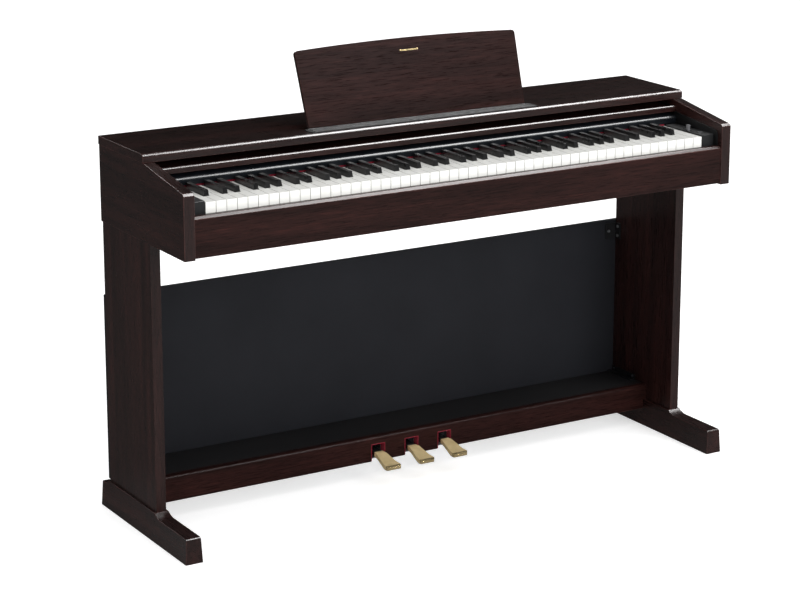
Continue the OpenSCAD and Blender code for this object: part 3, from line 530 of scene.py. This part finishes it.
def screw_head(bm, radius, height, shank_radius, length, matrix):
    """A pan head with a pressed cross recess on a plain shank; Z points out of the head, from its seat."""
    steps = 48
    crown_rings = 14

    def recess(x, y):
        """Depth of the cross at a place on the head, in shares of the head's height."""
        across = min(abs(x), abs(y)) / (0.16 * radius)
        along = max(abs(x), abs(y)) / (0.58 * radius)
        return 0.62 * max(0.0, 1 - across ** 4) * max(0.0, 1 - along ** 3)

    outline = ((shank_radius, -length), (shank_radius, 0), (radius * 0.96, 0), (radius, 0.35 * height))
    rings = [circle(r, z, steps) for r, z in outline]
    for i in range(crown_rings):
        r = radius * (0.97 - 0.95 * i / (crown_rings - 1))
        crown = height * (0.62 + 0.38 * math.sqrt(max(0.0, 1 - (r / radius) ** 2.5)))
        rings.append([(x, y, crown - height * recess(x, y)) for x, y, _ in circle(r, 0, steps)])
    ring_mesh(bm, rings, matrix)


def screws():
    """Zinc screws in place of the plain CAD ones."""
    head_h = 2.2 * MM
    bm = bmesh.new()
    for low, high in solids_of("stand_screws"):
        size = high - low
        middle = (low + high) / 2
        if size.x > size.y:
            side = -1 if middle.x > 0 else 1
            end = low.x if side < 0 else high.x
            out = Vector((side, 0, 0))
            seat = Vector((end - side * head_h, middle.y, middle.z))
            radius, length = size.y / 2, size.x - head_h
        else:
            out = Vector((0, -1, 0))
            seat = Vector((middle.x, low.y + head_h, middle.z))
            radius, length = size.x / 2, size.y - head_h
        place = Matrix.Translation(seat) @ out.to_track_quat("Z", "Y").to_matrix().to_4x4()
        # Each cross is left at an angle of its own
        tilt = Matrix.Rotation(7.0 * middle.z + 3.0 * middle.x, 4, "Z")
        screw_head(bm, radius, head_h, 0.47 * radius, length, place @ tilt)
    add_mesh("bracket_screws", bm, "piano", "steel", ("stand_screws",))


def fuzzy_felt(name, node, voxel):
    """Felt in place of a plain CAD strip: rounded edges and a tufted surface, inside the CAD's faces."""
    bm = bmesh.new()
    bm.from_mesh(frame["nodes"][node].data)
    obj = add_mesh(name, bm, "piano", "red_felt", (node,))
    remesh = obj.modifiers.new("felted", "REMESH")
    remesh.mode = "VOXEL"
    remesh.voxel_size = voxel * MM
    remesh.use_smooth_shade = True
    tufts = bpy.data.textures.new(name + "_tufts", "CLOUDS")
    tufts.noise_scale = 2.2 * MM
    fuzz = obj.modifiers.new("fuzz", "DISPLACE")
    fuzz.texture = tufts
    fuzz.strength = 0.5 * MM
    fuzz.mid_level = 1.0


def slider():
    """The volume slider: a waisted cap with finger ridges on a stem with its keeper."""
    low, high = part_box("volume_slider")
    middle = (low + high) / 2
    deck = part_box("end_block_right")[1].z
    half_w, half_d, corner_r = 3.5 * MM, 4.5 * MM, 1.2 * MM
    at = Matrix.Translation((middle.x, middle.y, 0))
    bm = bmesh.new()

    def slab(x, y, z0, z1):
        corners = [(-x, -y), (x, -y), (x, y), (-x, y)]
        ring_mesh(bm, [[(cx, cy, z) for cx, cy in corners] for z in (z0, z1)], at)

    slab(4.0 * MM, half_d, low.z, low.z + 2.5 * MM)
    slab(1.0 * MM, half_d, low.z + 2 * MM, deck + 0.8 * MM)
    base = deck + 0.3 * MM
    rows = []
    sections = 13
    for i in range(sections):
        share = i / (sections - 1)
        waist = 1 - 0.16 * math.sin(math.pi * min(1.0, share * 1.15))
        ridge = 0.94 if 3 <= i <= 10 and i % 2 else 1.0
        z = base + share * (high.z - base)
        x, y = half_w * waist - corner_r, half_d * waist * ridge - corner_r
        rows.append([
            (cx + corner_r * math.cos(turn), cy + corner_r * math.sin(turn), z)
            for cx, cy, start in ((x, y, 0), (-x, y, 90), (-x, -y, 180), (x, -y, 270))
            for turn in (math.radians(start + a) for a in (0, 30, 60, 90))
        ])
    ring_mesh(bm, rows, at)
    obj = add_mesh(
        "slider_cap", bm, "volume_slider", "button_plastic", ("volume_slider",), "slider_plastic", False)
    bevel = obj.modifiers.new("bevel", "BEVEL")
    bevel.width = 0.3 * MM
    bevel.segments = 2
    bevel.limit_method = "ANGLE"


def springs():
    """The coil springs, as copies of the CAD springs with meshes of their own."""
    for side in ("left", "centre", "right"):
        node = "pedal_spring_" + side
        bm = bmesh.new()
        bm.from_mesh(frame["nodes"][node].data)
        coil = add_mesh("coil_" + side, bm, "piano", SLOTS[node], (node,))
        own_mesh(coil)


def sockets():
    """A flanged shell behind each hole of the jack panel, with contact pins on its back wall."""
    low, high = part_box("jack_panel")
    middle = (low + high) / 2
    rear, plate, mouth = low.y - 1.9 * MM, low.y - 0.05 * MM, low.y + 2.6 * MM
    floor, pin_end, pin_r = rear + 1 * MM, low.y + 1.8 * MM, 0.7 * MM
    flange, play, wall = 1.0 * MM, 0.15 * MM, 1.15 * MM
    shell = ((flange, rear), (flange, plate), (-play, plate), (-play, mouth), (-wall, mouth), (-wall, floor))
    pin = ((pin_r, floor - 0.2 * MM), (pin_r, pin_end - 0.4 * MM), (0.5 * pin_r, pin_end))
    turned = Matrix(((1, 0, 0, 0), (0, 0, 1, 0), (0, 1, 0, 0), (0, 0, 0, 1)))
    shells, pins = bmesh.new(), bmesh.new()
    # Each hole's place along X, half sizes in millimetres, and pins
    for x, half_w, half_h, count in ((-39, 5, 5, 2), (0, 6, 6, 3), (39, 9, 4, 4)):
        half_w, half_h = half_w * MM, half_h * MM
        at = Matrix.Translation((middle.x + x * MM, 0, middle.z)) @ turned
        rows = []
        for grow, y in shell:
            w, h = half_w + grow, half_h + grow
            rows.append([(-w, -h, y), (w, -h, y), (w, h, y), (-w, h, y)])
        ring_mesh(shells, rows, at)
        for i in range(count):
            along = (2 * i - count + 1) / count * (half_w - wall)
            ring_mesh(pins, [circle(r, y, 16, along) for r, y in pin], at)
    for bm in (shells, pins):
        bmesh.ops.recalc_face_normals(bm, faces=bm.faces)
    add_mesh("jack_shells", shells, "piano", "matte_black_plastic", smooth=False)
    add_mesh("jack_pins", pins, "piano", "steel", smooth=False)


def rest_inlay():
    """A plain brass bar let into the face of the music rest, near its top."""
    low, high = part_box("music_rest")
    half_w, half_h, proud = 23 * MM, 1.6 * MM, 0.3 * MM
    board = bmesh.new()
    board.from_mesh(frame["nodes"]["music_rest"].data)
    start = Vector((0, low.y - 1, low.z + 0.84 * (high.z - low.z)))
    centre, face, _, _ = BVHTree.FromBMesh(board).ray_cast(start, Vector((0, 1, 0)))
    board.free()
    up = face.cross(Vector((1, 0, 0)))
    at = Matrix.Translation(centre) @ Matrix((
        (1, 0, 0, 0), (0, up.y, face.y, 0), (0, up.z, face.z, 0), (0, 0, 0, 1)))
    bm = bmesh.new()
    rows = []
    for share, z in ((1.0, -0.6 * MM), (1.0, 0.5 * proud), (0.9, proud)):
        round_end = circle(half_h * share, z, 40)
        rows.append([(x + math.copysign(half_w - half_h, x), y, z) for x, y, z in round_end])
    ring_mesh(bm, rows, at)
    add_mesh("rest_inlay", bm, "music_rest", "pedal_brass", (), "inlay_brass", False)


screws()
fuzzy_felt("pedal_lining", "pedal_felts", 0.7)
fuzzy_felt("keybed_felt", "key_felts", 0.9)
slider()
springs()
sockets()
rest_inlay()

# ---------------------------------------------------------------- the studio


def softbox(name, place, aim, size, power, gloss):
    """An area light. With gloss it is seen only in reflections, and with gloss off only by matte surfaces."""
    light = bpy.data.lights.new(name, "AREA")
    light.shape = "RECTANGLE"
    light.size, light.size_y = size
    light.energy = power
    obj = bpy.data.objects.new(name, light)
    bpy.context.scene.collection.objects.link(obj)
    obj.location = place
    obj.rotation_mode = "QUATERNION"
    obj.rotation_quaternion = (Vector(aim) - Vector(place)).to_track_quat("-Z", "Y")
    obj.visible_diffuse = not gloss
    obj.visible_glossy = gloss


def seen_by(tree, kind):
    """The share of a ray that is of one kind, such as "Is Glossy Ray"."""
    return tree.nodes.new("ShaderNodeLightPath").outputs[kind]


def studio():
    """A white floor that looks darker in reflections, a white surround left out of them, and soft lights."""
    keys = (0, -0.05, 0.75)
    middle = (0, 0, 0.5)
    softbox("sky", (0.8, -1.2, 4.0), middle, (4.0, 3.0), 42, gloss=False)
    softbox("front_fill", (1.5, -5.0, 2.2), middle, (3.0, 2.0), 155, gloss=False)
    softbox("edge_strip", (1.50, -0.75, 3.25), keys, (2.6, 1.5), 450, gloss=True)
    softbox("back_rim", (-1.40, 2.50, 2.65), keys, (1.2, 0.4), 35, gloss=True)
    softbox("front_right", (1.70, -2.60, 1.35), keys, (2.4, 0.5), 1, gloss=True)

    bm = bmesh.new()
    bmesh.ops.create_grid(bm, x_segments=1, y_segments=1, size=30)
    mesh = bpy.data.meshes.new("floor")
    bm.to_mesh(mesh)
    bm.free()
    floor = bpy.data.objects.new("floor", mesh)
    bpy.context.scene.collection.objects.link(floor)
    floor.location.z = -0.2 * MM
    f = Finish("floor", roughness=0.9, specular=0.0, emission_color=(1, 1, 1))
    f.set(emission_strength=f.spread(seen_by(f.tree, "Is Camera Ray"), 0.05, 0.5))
    pale = f.mix(f.noise(1.5, 3), (0.90, 0.90, 0.90), (0.93, 0.93, 0.93))
    behind = f.spread(f.split(f.place, "Y"), 0.0, 1.0, -0.4, 0.4)
    mirrored = f.mix(behind, (0.30, 0.30, 0.30), (0.04, 0.04, 0.04))
    f.set(base_color=f.mix(seen_by(f.tree, "Is Glossy Ray"), pale, mirrored))
    mesh.materials.append(f.material)

    world = bpy.data.worlds.new("surround")
    world.use_nodes = True
    background = world.node_tree.nodes["Background"]
    level = world.node_tree.nodes.new("ShaderNodeMapRange")
    level.inputs["To Min"].default_value = 0.85
    level.inputs["To Max"].default_value = 1.0
    world.node_tree.links.new(seen_by(world.node_tree, "Is Camera Ray"), level.inputs["Value"])
    world.node_tree.links.new(level.outputs["Result"], background.inputs["Strength"])
    background.inputs["Color"].default_value = (1, 1, 1, 1)
    bpy.context.scene.world = world
    world.cycles_visibility.glossy = False
    bpy.context.scene.view_settings.view_transform = "Standard"


def camera():
    """A long lens from the player's left, looking a little down."""
    data = bpy.data.cameras.new("camera")
    data.lens = 109.39
    data.shift_y = -0.1
    data.clip_end = 100
    obj = bpy.data.objects.new("camera", data)
    bpy.context.scene.collection.objects.link(obj)
    obj.location = (-2.6627, -4.3594, 1.8441)
    obj.rotation_euler = (math.radians(90 - 13.80), 0, math.radians(-30.88))
    bpy.context.scene.camera = obj


studio()
camera()
